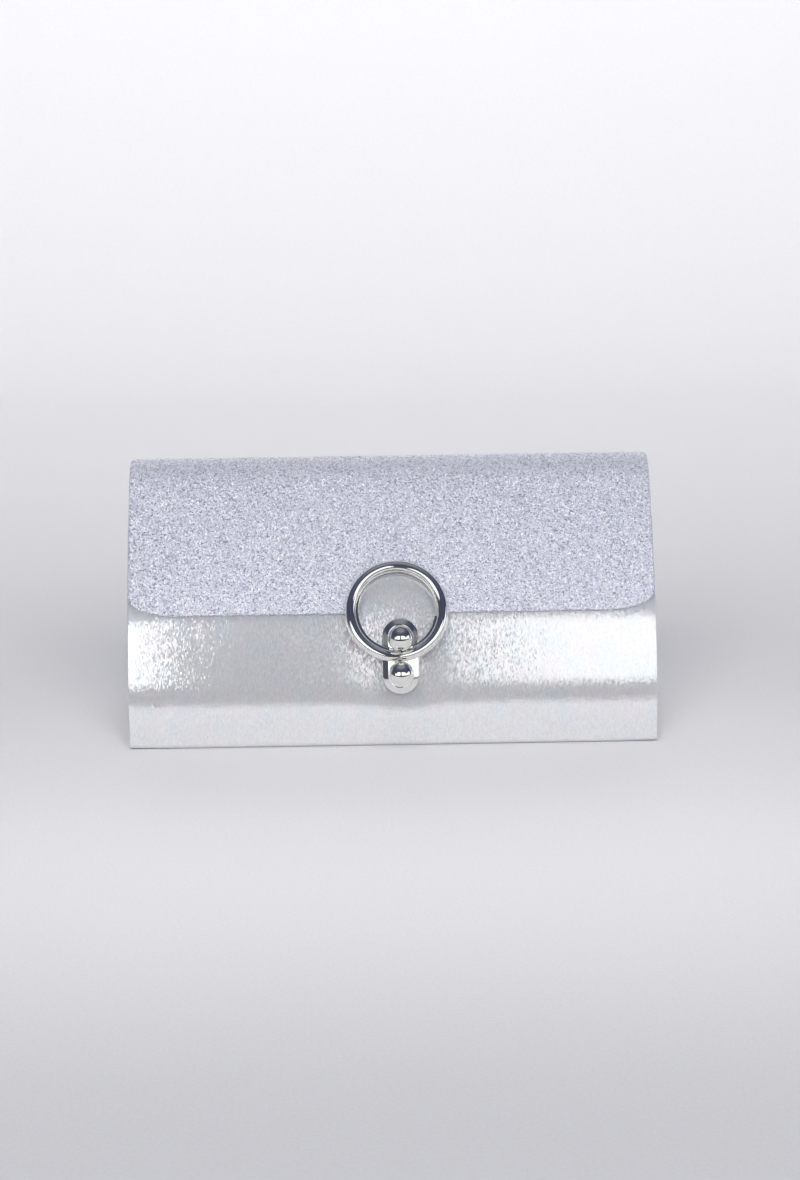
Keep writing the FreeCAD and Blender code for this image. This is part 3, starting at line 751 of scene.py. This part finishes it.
class BAG_OT_front_skin(bpy.types.Operator):
    """Adds the metallic leatherette of the front, turned under the bag and over the front's top edge"""

    bl_idname = "bag.front_skin"
    bl_label = "Front Skin"

    def execute(self, context):
        form = context.scene.bag_form
        path = front_path()
        nearly = 0.999         # of the roll, at the very ends
        tray, prong, deep = (6.4, 26.8), (0.9, 1.8), 20.0
        skin = skin_panel("front_skin", path_length(path))
        divide(skin, 1, bends(path, 2.5))
        divide(skin, 0, spread(-HALF, HALF, 3 * MM))
        for v in skin.data.vertices:
            inside = max(0.0, abs(v.co.x) - (HALF - form.roll_width)) / form.roll_width
            v.co.z -= form.roll * inside * inside * nearly
        lay(skin, path)
        to_studs = STUDS.inverted()
        outwards = STUDS.to_3x3() @ Vector((0, 0, 1))
        straight, side, near = mm((PLATE_LENGTH - PLATE_WIDTH) / 2, PLATE_WIDTH / 2, 12)
        for v in skin.data.vertices:
            place = to_studs @ v.co
            gap = max(0.0, math.hypot(place.x, max(0.0, abs(place.y) - straight)) - side)
            if abs(place.z) < near:
                v.co -= outwards * form.dimple * math.exp(-(gap / form.dimple_width) ** 2)
        for x, y, opening in [(0, 0, tray)] + [(x, y, prong) for x, y in PRONGS]:
            cut_with(skin, block(mm(*opening, deep), mm(x, y, 0), STUDS))
        put_on(skin, "body", make_leatherette(), ["front_cover"])
        return {"FINISHED"}


class BAG_OT_base_skin(bpy.types.Operator):
    """Adds the flat leatherette panel of the underside"""

    bl_idname = "bag.base_skin"
    bl_label = "Base Skin"

    def execute(self, context):
        path = [("line", BASE_SEAM - SEAT, 0.0, SEAT - BASE_SEAM, 0.0)]
        skin = skin_panel("base_skin", path_length(path))
        divide(skin, 0, spread(-HALF, HALF, 10 * MM))
        lay(skin, path)
        put_on(skin, "body", make_leatherette(), ["base_cover"])
        return {"FINISHED"}


def side_sheet(name, points, x_low, x_high, side):
    """A closed flat sheet on one end of the bag, from its side outline."""
    obj = begin(name, "circle", vertices=len(points), fill_type="NGON")
    for v, (y, z) in zip(obj.data.vertices, points):
        v.co = (x_low, y * MM, z * MM)
    keep_cut(obj, 1, 2)
    choose(obj, "faces", lambda f: True)
    bpy.ops.mesh.extrude_region_move(TRANSFORM_OT_translate={"value": (x_high - x_low, 0, 0)})
    done()
    heal(obj)
    if side < 0:
        obj.scale = (-1, 1, 1)
        settle(obj)
        heal(obj)
    return obj


class BAG_OT_end_skins(bpy.types.Operator):
    """Adds the leatherette of the two end panels, turned over the top of each end"""

    bl_idname = "bag.end_skins"
    bl_label = "End Skins"

    def execute(self, context):
        form = context.scene.bag_form
        inset = 0.15           # the end's face lies this far inside the front skin's edge
        first, last = FRONT_TOP + 0.15, 178.0     # degrees between which the skin is turned over the end
        over = follow(first, last, 0.0)
        points = outline(SKIN + SEAT, SKIN + SEAT, BACK - SKIN - SEAT, 0.0)
        outer = HALF - (inset + SKIN / 2) * MM
        for side, name in SIDES:
            skin = side_sheet(name + "_end_skin", points, HALF - (SKIN + inset) * MM, HALF - inset * MM, side)
            choose(skin, "faces", lambda f: abs(f.normal.x) > 0.9 and side * f.normal.x < 0)
            bpy.ops.mesh.inset(thickness=SKIN * MM, use_even_offset=True)
            done()
            round_edges(skin, form.skin_edge, 3, 50)
            ends = sorted((side * END_IN, side * outer))
            turned = panel(name + "_turned", *ends, path_length(over), (SEAT - SKIN) * MM, -0.03 * MM)
            divide(turned, 1, bends(over, 2.0))
            lay(turned, over)
            cut_with(skin, turned, "UNION")
            put_on(skin, "body", make_leatherette(), [name + "_end_cover"])
        return {"FINISHED"}


def trough_path():
    """Face of the boards that the lining lies on: down the front, across the base and up the back."""
    corner = 1.5
    cy, cz, radius = BELLY[:3]
    inside = radius - PAD_BACK - corner
    drop = BASE_IN + corner - cz
    centre = cy - math.sqrt(inside ** 2 - drop ** 2)
    meet = math.degrees(math.asin(drop / inside))
    return [
        run_of(FLANK, FRONT_TOP - 0.2, FLANK[3], -PAD_BACK),
        run_of(BELLY, BELLY[4], meet, -PAD_BACK),
        ("arc", centre, BASE_IN + corner, corner, meet, -90.0),
        ("line", centre, BASE_IN, BACK_IN - corner, BASE_IN),
        ("arc", BACK_IN - corner, BASE_IN + corner, corner, -90.0, -180.0),
        ("line", BACK_IN, BASE_IN + corner, BACK_IN, FOLD - LINING_DROP),
    ]


class BAG_OT_satin_lining(bpy.types.Operator):
    """Adds the satin inside the bag: one length down the front, across and up the back, and its two ends"""

    bl_idname = "bag.satin_lining"
    bl_label = "Satin Lining"

    def execute(self, context):
        form = context.scene.bag_form
        path = trough_path()
        whole = path_length(path)
        trough = panel("satin_trough", -LINED_HALF, LINED_HALF, whole, 0, form.satin)
        divide(trough, 1, bends(path, 4.0))
        divide(trough, 0, spread(-LINED_HALF, LINED_HALF, 6 * MM))
        lay(trough, path)
        satin = make_satin()
        put_on(trough, "body", satin, ["front_lining", "base_lining", "back_lining"])
        crown_in, back_end, back_start = 1.8, 26.9, 25.9
        points = [(min(y, back_end), min(z, FOLD - LINING_DROP) if y > back_start else z)
                  for y, z in outline(PAD_BACK + SEAT, BASE_IN + SEAT, BACK_IN - SEAT, crown_in)]
        face = LINED_HALF + SEAT * MM
        for side, name in SIDES:
            sheet = side_sheet(name + "_satin_end", points, face, face + form.satin, side)
            put_on(sheet, "body", satin, [name + "_end_lining"])
        return {"FINISHED"}


class BAG_OT_slip_pocket(bpy.types.Operator):
    """Adds the open slip pocket sewn to the back lining, a little slack at its mouth"""

    bl_idname = "bag.slip_pocket"
    bl_label = "Slip Pocket"

    def execute(self, context):
        form = context.scene.bag_form
        low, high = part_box("slip_pocket")
        width, height = high.x - low.x, high.z - low.z
        held_side, held_foot = mm(12, 10)     # how far from its seams the pocket comes free
        pocket = panel("satin_pocket", low.x, high.x, height, 0, form.satin)
        divide(pocket, 1, spread(0, height, 2.5 * MM))
        divide(pocket, 0, spread(low.x, high.x, 3.5 * MM))
        for v in pocket.data.vertices:
            from_side = min(1.0, (high.x - abs(v.co.x)) / held_side)
            from_foot = min(1.0, v.co.y / held_foot)
            free = math.sin(math.pi / 2 * from_side) * math.sin(math.pi / 2 * from_foot)
            wave = 0.25 + 0.75 * math.cos(v.co.x / width * math.pi) * (v.co.y / height)
            v.co.z += form.slack * free * wave
        face = BACK_IN - LINING
        lay(pocket, [("line", face, low.z / MM, face, high.z / MM)])
        put_on(pocket, "body", make_satin(), ["slip_pocket"])
        return {"FINISHED"}


class BAG_OT_flap_lining(bpy.types.Operator):
    """Adds the satin on the flap's inner face, which runs on over the fold and is caught inside the back"""

    bl_idname = "bag.flap_lining"
    bl_label = "Flap Lining"

    def execute(self, context):
        under, tail = 0.9, 2.7     # where the lining is caught: behind the back's lining, and how far down
        thick, rounding, corner = 0.45, 0.12, (15.6, 6.0)
        half = FLAP_HALF - FLAP_LINING_IN * MM
        path = follow(FLAP_EDGE + math.degrees(FLAP_LINING_IN / FLANK[2]), 165.0, 0.3)
        flap_run = path_length(path)
        top = point_on(path, flap_run / MM, 0.0)
        foot = (BACK_IN - under, FOLD - LINING_DROP)
        path += [("line", *top, *foot), ("line", *foot, foot[0], foot[1] - tail)]
        whole = path_length(path)
        lining = panel("satin_flap_lining", -half, half, whole, 0, thick * MM, mm(*corner),
                       mm(RING_AT[0], -FLAP_LINING_IN, NOTCH))
        round_edges(lining, rounding * MM, 2, use_clamp_overlap=False)
        divide(lining, 1, bends(path, 4.0))
        divide(lining, 1, spread(flap_run, flap_run + math.dist(top, foot) * MM, 0.14 * MM))
        divide(lining, 0, spread(-half, half, 6 * MM))
        inside = min(1.0, (LINED_HALF - 0.1 * MM) / half)
        for v in lining.data.vertices:
            past = min(1.0, max(0.0, (v.co.y - flap_run) / (1.0 * MM)))
            v.co.x *= 1 - past * (1 - inside)
        lay(lining, path)
        put_on(lining, None, make_satin(), ["flap_lining"])
        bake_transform(lining)
        return {"FINISHED"}


class BAG_OT_front_foam(bpy.types.Operator):
    """Adds the foam sheet behind the front board"""

    bl_idname = "bag.front_foam"
    bl_label = "Front Foam"

    def execute(self, context):
        low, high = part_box("front_padding")
        gap, face, thick = 0.2, 2.75, 1.95     # at its edges, its outer face in from the surface, and its own
        foot = math.degrees(math.asin((BASE_IN + gap - BELLY[1]) / (BELLY[2] - PAD_BACK)))
        path = follow(foot, FRONT_TOP - 0.6, -face)
        foam = panel("front_foam", low.x + gap * MM, high.x - gap * MM, path_length(path), -thick * MM, 0)
        round_edges(foam, 0.5 * MM, 3)
        divide(foam, 1, bends(path, 4.0))
        divide(foam, 0, spread(low.x, high.x, 8 * MM))
        lay(foam, path)
        cut_with(foam, block(mm(13.8, 29.6, 30), (0, 0, 0), STUDS))
        put_on(foam, "body", make_foam(), ["front_padding"])
        return {"FINISHED"}


class BAG_OT_clasp_ring(bpy.types.Operator):
    """Adds the round ring with its half sleeve and screw posts"""

    bl_idname = "bag.clasp_ring"
    bl_label = "Clasp Ring"

    def execute(self, context):
        tube, rounding, depth, wrap = RING_TUBE * MM, 0.35, 5.1, 8
        ring = begin("polished_ring", "torus", major_radius=RING_RADIUS * MM, minor_radius=tube,
                     major_segments=192, minor_segments=48)
        sleeve = begin("ring_sleeve", "plane", size=1)
        sleeve.scale = (*mm(SLEEVE_OUT - SLEEVE_IN, depth), 1)
        sleeve.location = mm((SLEEVE_IN + SLEEVE_OUT) / 2, 0, rounding - depth / 2)
        sleeve.rotation_euler = (math.radians(90), 0, 0)
        settle(sleeve)
        choose(sleeve, "verts", lambda v: True)
        bpy.ops.mesh.bevel(offset=rounding * MM, segments=4, affect="VERTICES")
        bpy.ops.mesh.select_all(action="SELECT")
        bpy.ops.transform.rotate(value=math.radians(wrap), orient_axis="Z", center_override=(0, 0, 0))
        bpy.ops.mesh.select_all(action="SELECT")
        bpy.ops.mesh.spin(steps=96, angle=math.radians(180 + 2 * wrap), center=(0, 0, 0), axis=(0, 0, 1))
        done()
        heal(sleeve)
        pieces = [sleeve]
        for degrees in (28, 90, 152):
            x, y = (RING_RADIUS * way(math.radians(degrees)) for way in (math.cos, math.sin))
            pieces.append(begin("post", "cylinder", vertices=32, radius=1.5 * MM, depth=3.6 * MM,
                                location=mm(x, y, -2.2)))
        join(ring, pieces)
        settle(ring, RING)
        put_on(ring, "flap", make_polished(), ["clasp_ring"], 40)
        return {"FINISHED"}


def capsule(name, length, wide, low, high):
    """A closed flat-topped capsule lying along Y."""
    obj = begin(name, "circle", vertices=96, radius=wide / 2, fill_type="NOTHING")
    choose(obj, "verts", lambda v: v.co.y < -1e-7)
    bpy.ops.mesh.delete(type="VERT")
    bpy.ops.mesh.select_all(action="SELECT")
    bpy.ops.transform.translate(value=(0, (length - wide) / 2, 0))
    bpy.ops.mesh.duplicate()
    bpy.ops.transform.rotate(value=math.pi, orient_axis="Z", center_override=(0, 0, 0))
    bpy.ops.mesh.select_all(action="SELECT")
    bpy.ops.mesh.edge_face_add()
    bpy.ops.transform.translate(value=(0, 0, low))
    bpy.ops.mesh.extrude_region_move(TRANSFORM_OT_translate={"value": (0, 0, high - low)})
    done()
    heal(obj)
    return obj


class BAG_OT_stud_plate(bpy.types.Operator):
    """Adds the bevelled capsule plate with its two slots and four prongs"""

    bl_idname = "bag.stud_plate"
    bl_label = "Stud Plate"

    def execute(self, context):
        slope_in, slope_up, side_height, slot_width, through = mm(2.3, 1.3, 1.1, 3.3, 9)
        crowning = 0.0105 / MM     # the top falls away to the two long sides
        plate = capsule("polished_plate", *mm(PLATE_LENGTH, PLATE_WIDTH, -1.2), side_height)
        choose(plate, "faces", lambda f: f.normal.z > 0.9)
        bpy.ops.mesh.inset(thickness=slope_in, depth=slope_up, use_even_offset=True)
        done()
        choose(plate, "edges", lambda e: e.is_manifold and e.verts[0].co.z > 1 * MM and e.calc_face_angle() > 0.35
               and abs(e.verts[0].co.z - e.verts[1].co.z) < 1e-6)
        bpy.ops.mesh.bevel(offset=0.18 * MM, segments=3, affect="EDGES")
        done()
        divide(plate, 0, spread(-PLATE_WIDTH / 2 * MM, PLATE_WIDTH / 2 * MM, 0.8 * MM))
        for v in plate.data.vertices:
            if v.co.z > 0:
                v.co.z -= crowning * v.co.x ** 2
        for side in (-1, 1):
            slot = capsule("slot", TRAVEL * MM + slot_width, slot_width, -through, through)
            slot.location = (0, side * (BALL_SPACING + TRAVEL) / 2 * MM, 0)
            settle(slot)
            cut_with(plate, slot)
        for v in plate.data.vertices:
            if v.co.z < 0:
                v.co.z = -v.co.y ** 2 / (2 * BELLY[2] * MM)
        join(plate, [block(mm(0.7, 1.6, 4.4), mm(x, y, -2.5)) for x, y in PRONGS])
        settle(plate, STUDS)
        put_on(plate, "body", make_polished(), ["stud_plate"], 30)
        return {"FINISHED"}


class BAG_OT_ball_studs(bpy.types.Operator):
    """Adds the two ball studs, each with its neck and slider"""

    bl_idname = "bag.ball_studs"
    bl_label = "Ball Studs"

    def execute(self, context):
        low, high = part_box("upper_stud")
        ball_radius, opened, collar, neck, slider_down = mm(BALL, -4.5, 0.9, 6.5, -12.54)
        narrowing = 0.62
        middle = STUDS.inverted() @ Vector(((low.x + high.x) / 2, low.y + ball_radius, high.z - ball_radius))
        for side, name in ((1, "upper"), (-1, "lower")):
            ball = begin("polished_" + name + "_stud", "uv_sphere", segments=72, ring_count=48, radius=ball_radius)
            choose(ball, "faces", lambda f: f.calc_center_median().z < opened)
            bpy.ops.mesh.delete(type="FACE")
            choose(ball, "edges", lambda e: e.is_boundary)
            bpy.ops.mesh.extrude_edges_move(TRANSFORM_OT_translate={"value": (0, 0, -collar)})
            bpy.ops.transform.resize(value=(narrowing, narrowing, 1), center_override=(0, 0, 0))
            bpy.ops.mesh.extrude_edges_move(TRANSFORM_OT_translate={"value": (0, 0, -neck)})
            bpy.ops.mesh.edge_face_add()
            done()
            slider = block(mm(5.6, 3.6, 1.4), (0, 0, slider_down))
            finish_with(slider, "BEVEL", width=0.2 * MM, segments=2)
            join(ball, [slider])
            settle(ball, STUDS @ Matrix.Translation((middle.x, side * BALL_SPACING / 2 * MM, middle.z)))
            put_on(ball, name + "_ball", make_polished(), [name + "_stud"], 40)
        return {"FINISHED"}


class BAG_OT_tabs_and_rings(bpy.types.Operator):
    """Adds the wire D-rings and the satin tabs that hold them, left and right"""

    bl_idname = "bag.tabs_and_rings"
    bl_label = "Tabs And Rings"

    def execute(self, context):
        wire, leg = mm(WIRE, 3.0)
        loop = 0.9             # radius of the tab round the ring's straight bar
        for side, name in SIDES:
            low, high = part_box(name + "_d_ring")
            x, y, bar = (low.x + high.x) / 2, (low.y + high.y) / 2, high.z - wire
            half = (high.x - low.x) / 2 - wire
            foot = bar - leg
            quarter = math.radians(90)
            ring = begin(name + "_wire_ring", "torus", major_radius=half, minor_radius=wire, major_segments=96,
                         minor_segments=24, rotation=(quarter, 0, 0), location=(x, y, foot))
            settle(ring)
            choose(ring, "faces", lambda f: f.calc_center_median().z > foot + 1e-6)
            bpy.ops.mesh.delete(type="FACE")
            choose(ring, "edges", lambda e: e.is_boundary)
            bpy.ops.mesh.extrude_edges_move(TRANSFORM_OT_translate={"value": (0, 0, leg)})
            bpy.ops.mesh.edge_face_add()
            done()
            pieces = [begin("bar", "cylinder", vertices=24, radius=wire, depth=2 * half,
                            rotation=(0, quarter, 0), location=(x, y, bar))]
            for end in (-half, half):
                pieces.append(begin("bend", "uv_sphere", segments=24, ring_count=16, radius=wire,
                                    location=(x + end, y, bar)))
            join(ring, pieces)
            settle(ring)
            put_on(ring, name + "_ring", make_polished(), [name + "_d_ring"], 40)

            low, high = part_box(name + "_ring_tab")
            y, bar = y / MM, bar / MM
            path = [("line", y + loop, high.z / MM, y + loop, bar), ("arc", y, bar, loop, 180.0, 450.0)]
            tab = panel(name + "_satin_tab", low.x, high.x, path_length(path), 0, 0.6 * MM)
            round_edges(tab, 0.15 * MM, 2)
            divide(tab, 1, bends(path, 1.5))
            divide(tab, 0, spread(low.x, high.x, 1.0 * MM))
            lay(tab, path)
            put_on(tab, "body", make_satin(), [name + "_ring_tab"])
        return {"FINISHED"}


class BAG_OT_frame_finishes(bpy.types.Operator):
    """Gives the boards and the steel pieces of the frame their finishes"""

    bl_idname = "bag.frame_finishes"
    bl_label = "Frame Finishes"

    def execute(self, context):
        boards = ("base_board", "back_board", "front_board", "right_end_board", "left_end_board", "flap_board")
        steels = ("ring_back_plate", "ring_screws", "stud_housing", "upper_stud_spring", "lower_stud_spring")
        for names, material in ((boards, make_board()), (steels, make_steel())):
            for name in names:
                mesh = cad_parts[name].data
                mesh.materials.clear()
                mesh.materials.append(material)
        return {"FINISHED"}


# ---- stage -------------------------------------------------------------------------------------------
def look_at(obj, point, roll=0.0):
    """Turns a camera or light towards a point."""
    way = Vector(point) - obj.location
    turn = way.to_track_quat("-Z", "Y").to_matrix().to_4x4()
    obj.matrix_world = Matrix.Translation(obj.location) @ turn @ Matrix.Rotation(math.radians(roll), 4, "Z")


def add_lights(stage):
    """The rectangular lights: place, size, power, the point they face, their spread in degrees, and whether
    shiny pieces mirror them."""
    window, wall = stage.window_light, stage.wall_light
    for name, place, size, power, point, spread_angle, mirrored in (
        ("left_window", (-1.135, -2.2, 0.83), (1.63, 1.35), window * 0.97, (-1.135, 0, 0.83), 180, True),
        ("right_window", (1.02, -2.2, 0.83), (1.86, 1.35), window * 0.9, (1.02, 0, 0.83), 180, True),
        ("left_wall", (-1.95, -1.75, 0.45), (0.9, 0.8), wall * 0.45, (0, -1.75, 0.45), 180, True),
        ("right_wall", (1.95, -1.2, 0.45), (2.0, 0.8), wall, (0, -1.2, 0.45), 180, True),
        ("front_fill", (0, -3.0, 2.1), (3.2, 1.6), stage.fill_light, (0, 0, 0.05), 180, False),
        ("back_fill", (0, 0.12, 1.5), (2.6, 0.8), stage.back_light, (0, 1.3, 1.0), 148, False),
        ("table_fill", (0, -0.27, 0.8), (0.5, 0.1), stage.table_light, (0, -0.15, 0), 33, False),
    ):
        bpy.ops.object.light_add(type="AREA", location=place)
        light = bpy.context.object
        light.name = name
        light.data.shape = "RECTANGLE"
        light.data.size, light.data.size_y = size
        light.data.energy = power
        light.data.spread = math.radians(spread_angle)
        light.visible_glossy = mirrored
        light.visible_camera = False
        look_at(light, point)


def light_room(scene, strength):
    """An even dim room with a paler ceiling for the shiny pieces to mirror, pale where the camera sees past
    the paper."""
    scene.world = bpy.data.worlds.new("studio_room")
    scene.world.use_nodes = True
    tree = scene.world.node_tree
    tree.nodes.clear()
    way = node(tree, "TexCoord").outputs["Generated"]
    height = node(tree, "SeparateXYZ", {"Vector": way}).outputs["Z"]
    level = node(tree, "MapRange", {"Value": height, "From Min": -1.0})
    sky = node(tree, "ValToRGB", {"Fac": level}, stops=[
        (0.45, "room_low"), (0.52, "room_wall"), (0.8, "room_high"), (0.92, "room_cove"), (0.97, "room_lamp"),
        (1.0, "room_top")])
    seen = node(tree, "LightPath").outputs["Is Camera Ray"]
    pale = node(tree, "Mix", {"Factor": seen, "A": sky, "B": chosen("room_pale")}, data_type="RGBA")
    room = node(tree, "Background", {"Color": pale, "Strength": strength})
    node(tree, "OutputWorld", {"Surface": room})


class BAG_OT_stage(bpy.types.Operator):
    """Adds the pale paper sweep, the soft lights and the camera"""

    bl_idname = "bag.stage"
    bl_label = "Stage"

    def execute(self, context):
        scene = context.scene
        stage = scene.bag_stage
        scene.view_settings.view_transform = "Standard"
        wide, front, back, bend = 3.6, -0.225, 0.705, 0.7      # the paper turns up behind in a wide bend
        sweep = begin("paper_sweep", "plane", size=1)
        sweep.scale = (wide, back - front, 1)
        sweep.location = (0, (front + back) / 2, 0)
        settle(sweep)
        choose(sweep, "edges", lambda e: all(v.co.y > back / 2 for v in e.verts))
        bpy.ops.mesh.spin(steps=32, angle=math.radians(-80), center=(0, back, bend), axis=(1, 0, 0))
        bpy.ops.mesh.extrude_edges_move(TRANSFORM_OT_translate={"value": (0, 0.2, 1.4)})
        done()
        smooth(sweep, 60)
        apron = begin("paper_apron", "plane", size=1)
        apron.scale = (wide, 1.2, 1)
        apron.location = (0, front - 1.2 / 2, 0)
        settle(apron)
        apron.visible_glossy = False
        paper = make_paper()
        for sheet in (sweep, apron):
            sheet.data.materials.append(paper)
        add_lights(stage)
        light_room(scene, stage.room_light)
        bpy.ops.object.camera_add(location=(-0.0094, -1.0547, 0.3273))
        camera = bpy.context.object
        camera.name = "view_camera"
        camera.data.lens = 82.3
        look_at(camera, (0.0034, -0.0145, 0.0604), roll=-0.73)
        scene.camera = camera
        return {"FINISHED"}


# ---- panel -------------------------------------------------------------------------------------------
PIECES = (
    BAG_OT_glitter_cloth, BAG_OT_front_skin, BAG_OT_base_skin, BAG_OT_end_skins, BAG_OT_satin_lining,
    BAG_OT_slip_pocket, BAG_OT_flap_lining, BAG_OT_front_foam, BAG_OT_clasp_ring, BAG_OT_stud_plate,
    BAG_OT_ball_studs, BAG_OT_tabs_and_rings, BAG_OT_frame_finishes, BAG_OT_stage,
)


class BAG_PT_sidebar(bpy.types.Panel):
    """Lists the bag's pieces and settings in the sidebar"""

    bl_idname = "BAG_PT_sidebar"
    bl_label = "Evening Bag"
    bl_space_type = "VIEW_3D"
    bl_region_type = "UI"
    bl_category = "Evening Bag"

    def draw(self, context):
        for piece in PIECES:
            self.layout.operator(piece.bl_idname)
        scene = context.scene
        for group in (scene.bag_form, scene.bag_colours, scene.bag_stage):
            box = self.layout.box()
            for name in group.__annotations__:
                box.prop(group, name)


CLASSES = (BagFormSettings, BagColourSettings, BagStageSettings) + PIECES + (BAG_PT_sidebar,)


def register():
    for c in CLASSES:
        bpy.utils.register_class(c)
    bpy.types.Scene.bag_form = PointerProperty(type=BagFormSettings)
    bpy.types.Scene.bag_colours = PointerProperty(type=BagColourSettings)
    bpy.types.Scene.bag_stage = PointerProperty(type=BagStageSettings)


def unregister():
    del bpy.types.Scene.bag_stage
    del bpy.types.Scene.bag_colours
    del bpy.types.Scene.bag_form
    for c in reversed(CLASSES):
        bpy.utils.unregister_class(c)


def main():
    register()
    for piece in PIECES:
        getattr(bpy.ops.bag, piece.bl_idname.split(".")[1])()


if __name__ == "__main__":
    main()
